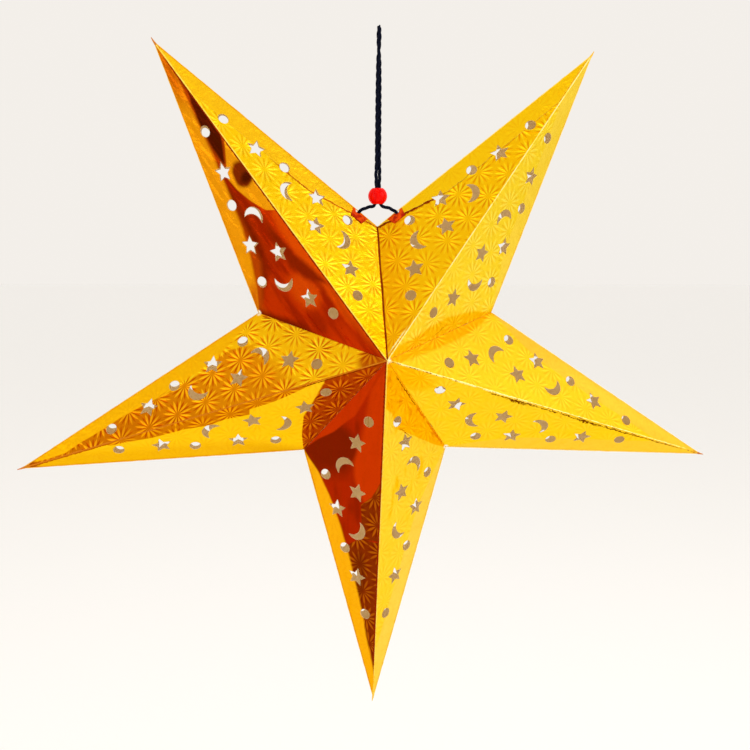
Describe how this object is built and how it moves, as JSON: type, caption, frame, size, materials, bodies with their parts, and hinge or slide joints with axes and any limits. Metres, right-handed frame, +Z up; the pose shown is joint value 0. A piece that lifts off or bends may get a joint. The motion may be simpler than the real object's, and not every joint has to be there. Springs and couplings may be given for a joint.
{
  "type": "folding star lantern",
  "caption": "Hollow star of punched and embossed gold foil card that folds at its creases, hung by a doubled cord through a bead.",
  "frame": {"origin": "inside the top of the cord's eye, where the star hangs", "axes": "+Z up along the cord, +X to the right seen from the front, the front faces -Y"},
  "size_m": [0.443, 0.0986, 0.4391],
  "materials": {
    "foil_card": "gold metallised foil outside, embossed with starbursts; pale card inside",
    "tab_card": "matt card, glued",
    "tape": "glossy orange-red tape",
    "cord": "twisted navy cord",
    "bead": "bright red, satin"
  },
  "bodies": {
    "hanger": {"cord_eye": "cord"},
    "bead": {"bead": "bead"},
    "top_right_front_inner": {"top_right_front_inner": "foil_card", "tab_seam_right_front": "tab_card", "tape_right_front": "tape"},
    "top_right_front_outer": {"top_right_front_outer": "foil_card"},
    "right_front_upper": {"right_front_upper": "foil_card", "tab_upper_right_front": "tab_card"},
    "right_front_lower": {"right_front_lower": "foil_card"},
    "bottom_front_right": {"bottom_front_right": "foil_card", "tab_lower_right_front": "tab_card"},
    "top_right_back_inner": {"top_right_back_inner": "foil_card", "tab_seam_right_back": "tab_card", "tape_right_back": "tape"},
    "top_right_back_outer": {"top_right_back_outer": "foil_card"},
    "right_back_upper": {"right_back_upper": "foil_card", "tab_upper_right_back": "tab_card"},
    "right_back_lower": {"right_back_lower": "foil_card"},
    "bottom_back_right": {"bottom_back_right": "foil_card", "tab_lower_right_back": "tab_card"},
    "top_left_front_inner": {"top_left_front_inner": "foil_card", "tab_seam_left_front": "tab_card", "tape_left_front": "tape"},
    "top_left_front_outer": {"top_left_front_outer": "foil_card"},
    "left_front_upper": {"left_front_upper": "foil_card", "tab_upper_left_front": "tab_card"},
    "left_front_lower": {"left_front_lower": "foil_card"},
    "bottom_front_left": {"bottom_front_left": "foil_card", "tab_lower_left_front": "tab_card"},
    "top_left_back_inner": {"top_left_back_inner": "foil_card", "tab_seam_left_back": "tab_card", "tape_left_back": "tape"},
    "top_left_back_outer": {"top_left_back_outer": "foil_card"},
    "left_back_upper": {"left_back_upper": "foil_card", "tab_upper_left_back": "tab_card"},
    "left_back_lower": {"left_back_lower": "foil_card"},
    "bottom_back_left": {"bottom_back_left": "foil_card", "tab_lower_left_back": "tab_card"},
    "cord_end_right": {"cord_end_right": "cord"},
    "cord_end_left": {"cord_end_left": "cord"}
  },
  "joints": [
    {"name": "bead_slide", "type": "slide", "parent": "hanger", "child": "bead", "axis": [0, 0, 1], "range_m": [0, 0.07]},
    {"name": "bottom_ridge_right_fold", "type": "hinge", "parent": "hanger", "child": "bottom_front_right", "pos_m": [0, -0.05, -0.204], "axis": [0, -0.2068, 0.9784], "range_deg": [0, 12.48]},
    {"name": "bottom_ridge_left_fold", "type": "hinge", "parent": "hanger", "child": "bottom_front_left", "pos_m": [0, -0.05, -0.204], "axis": [0, 0.2068, -0.9784], "range_deg": [0, 12.48]},
    {"name": "lower_right_valley_fold", "type": "hinge", "parent": "bottom_front_right", "child": "right_front_lower", "pos_m": [0, -0.05, -0.204], "axis": [0.4984, 0.53, -0.686], "range_deg": [0, 20.78]},
    {"name": "lower_left_valley_fold", "type": "hinge", "parent": "bottom_front_left", "child": "left_front_lower", "pos_m": [0, -0.05, -0.204], "axis": [0.4984, -0.53, 0.686], "range_deg": [0, 20.78]},
    {"name": "right_ridge_fold", "type": "hinge", "parent": "right_front_lower", "child": "right_front_upper", "pos_m": [0, -0.05, -0.204], "axis": [-0.9305, -0.2068, 0.3023], "range_deg": [0, 24.96]},
    {"name": "left_ridge_fold", "type": "hinge", "parent": "left_front_lower", "child": "left_front_upper", "pos_m": [0, -0.05, -0.204], "axis": [-0.9305, 0.2068, -0.3023], "range_deg": [0, 24.96]},
    {"name": "upper_right_valley_fold", "type": "hinge", "parent": "right_front_upper", "child": "top_right_front_outer", "pos_m": [0, -0.05, -0.204], "axis": [0.8065, 0.53, 0.262], "range_deg": [0, 20.78]},
    {"name": "upper_left_valley_fold", "type": "hinge", "parent": "left_front_upper", "child": "top_left_front_outer", "pos_m": [0, -0.05, -0.204], "axis": [0.8065, -0.53, -0.262], "range_deg": [0, 20.78]},
    {"name": "top_right_ridge_fold", "type": "hinge", "parent": "top_right_front_outer", "child": "top_right_front_inner", "pos_m": [0, -0.05, -0.204], "axis": [-0.5751, -0.2068, -0.7915], "range_deg": [0, 24.96]},
    {"name": "top_left_ridge_fold", "type": "hinge", "parent": "top_left_front_outer", "child": "top_left_front_inner", "pos_m": [0, -0.05, -0.204], "axis": [-0.5751, 0.2068, 0.7915], "range_deg": [0, 24.96]},
    {"name": "top_right_inner_edge_fold", "type": "hinge", "parent": "top_right_front_inner", "child": "top_right_back_inner", "pos_m": [0, 0, -0.124], "axis": [0.7804, 0, 0.6252], "range_deg": [0, 25]},
    {"name": "top_left_inner_edge_fold", "type": "hinge", "parent": "top_left_front_inner", "child": "top_left_back_inner", "pos_m": [0, 0, -0.124], "axis": [0.7804, 0, -0.6252], "range_deg": [0, 25]},
    {"name": "top_right_outer_edge_fold", "type": "hinge", "parent": "top_right_front_outer", "child": "top_right_back_outer", "pos_m": [0.07608, 0, -0.17928], "axis": [-0.3535, 0, -0.9354], "range_deg": [0, 25]},
    {"name": "top_left_outer_edge_fold", "type": "hinge", "parent": "top_left_front_outer", "child": "top_left_back_outer", "pos_m": [-0.07608, 0, -0.17928], "axis": [-0.3535, 0, 0.9354], "range_deg": [0, 25]},
    {"name": "right_upper_edge_fold", "type": "hinge", "parent": "right_front_upper", "child": "right_back_upper", "pos_m": [0.07608, 0, -0.17928], "axis": [0.8358, 0, -0.549], "range_deg": [0, 25]},
    {"name": "left_upper_edge_fold", "type": "hinge", "parent": "left_front_upper", "child": "left_back_upper", "pos_m": [-0.07608, 0, -0.17928], "axis": [0.8358, 0, 0.549], "range_deg": [0, 25]},
    {"name": "right_lower_edge_fold", "type": "hinge", "parent": "right_front_lower", "child": "right_back_lower", "pos_m": [0.04702, 0, -0.26872], "axis": [-0.9989, 0, 0.0471], "range_deg": [0, 25]},
    {"name": "left_lower_edge_fold", "type": "hinge", "parent": "left_front_lower", "child": "left_back_lower", "pos_m": [-0.04702, 0, -0.26872], "axis": [-0.9989, 0, -0.0471], "range_deg": [0, 25]},
    {"name": "bottom_right_edge_fold", "type": "hinge", "parent": "bottom_front_right", "child": "bottom_back_right", "pos_m": [0.04702, 0, -0.26872], "axis": [-0.2639, 0, -0.9646], "range_deg": [0, 25]},
    {"name": "bottom_left_edge_fold", "type": "hinge", "parent": "bottom_front_left", "child": "bottom_back_left", "pos_m": [-0.04702, 0, -0.26872], "axis": [-0.2639, 0, 0.9646], "range_deg": [0, 25]},
    {"name": "cord_end_right_swing", "type": "hinge", "parent": "hanger", "child": "cord_end_right", "pos_m": [-0.02017, -0.01558, -0.19866], "axis": [-0.546, 0.8359, 0.0568], "range_deg": [0, 20.06]},
    {"name": "cord_end_left_swing", "type": "hinge", "parent": "hanger", "child": "cord_end_left", "pos_m": [0.02017, -0.01558, -0.19866], "axis": [-0.546, -0.8359, -0.0568], "range_deg": [0, 20.06]}
  ],
  "couplings": [
    {"joint": "bottom_ridge_left_fold", "follows": "bottom_ridge_right_fold", "ratio": 1},
    {"joint": "lower_right_valley_fold", "follows": "bottom_ridge_right_fold", "ratio": 1.6646},
    {"joint": "lower_left_valley_fold", "follows": "bottom_ridge_right_fold", "ratio": 1.6646},
    {"joint": "right_ridge_fold", "follows": "bottom_ridge_right_fold", "ratio": 2},
    {"joint": "left_ridge_fold", "follows": "bottom_ridge_right_fold", "ratio": 2},
    {"joint": "upper_right_valley_fold", "follows": "bottom_ridge_right_fold", "ratio": 1.6646},
    {"joint": "upper_left_valley_fold", "follows": "bottom_ridge_right_fold", "ratio": 1.6646},
    {"joint": "top_right_ridge_fold", "follows": "bottom_ridge_right_fold", "ratio": 2},
    {"joint": "top_left_ridge_fold", "follows": "bottom_ridge_right_fold", "ratio": 2},
    {"joint": "top_right_inner_edge_fold", "follows": "bottom_ridge_right_fold", "ratio": 2.0035},
    {"joint": "top_left_inner_edge_fold", "follows": "bottom_ridge_right_fold", "ratio": 2.0035},
    {"joint": "top_right_outer_edge_fold", "follows": "bottom_ridge_right_fold", "ratio": 2.0035},
    {"joint": "top_left_outer_edge_fold", "follows": "bottom_ridge_right_fold", "ratio": 2.0035},
    {"joint": "right_upper_edge_fold", "follows": "bottom_ridge_right_fold", "ratio": 2.0035},
    {"joint": "left_upper_edge_fold", "follows": "bottom_ridge_right_fold", "ratio": 2.0035},
    {"joint": "right_lower_edge_fold", "follows": "bottom_ridge_right_fold", "ratio": 2.0035},
    {"joint": "left_lower_edge_fold", "follows": "bottom_ridge_right_fold", "ratio": 2.0035},
    {"joint": "bottom_right_edge_fold", "follows": "bottom_ridge_right_fold", "ratio": 2.0035},
    {"joint": "bottom_left_edge_fold", "follows": "bottom_ridge_right_fold", "ratio": 2.0035},
    {"joint": "cord_end_right_swing", "follows": "bottom_ridge_right_fold", "ratio": 1.6074},
    {"joint": "cord_end_left_swing", "follows": "bottom_ridge_right_fold", "ratio": 1.6074}
  ]
}
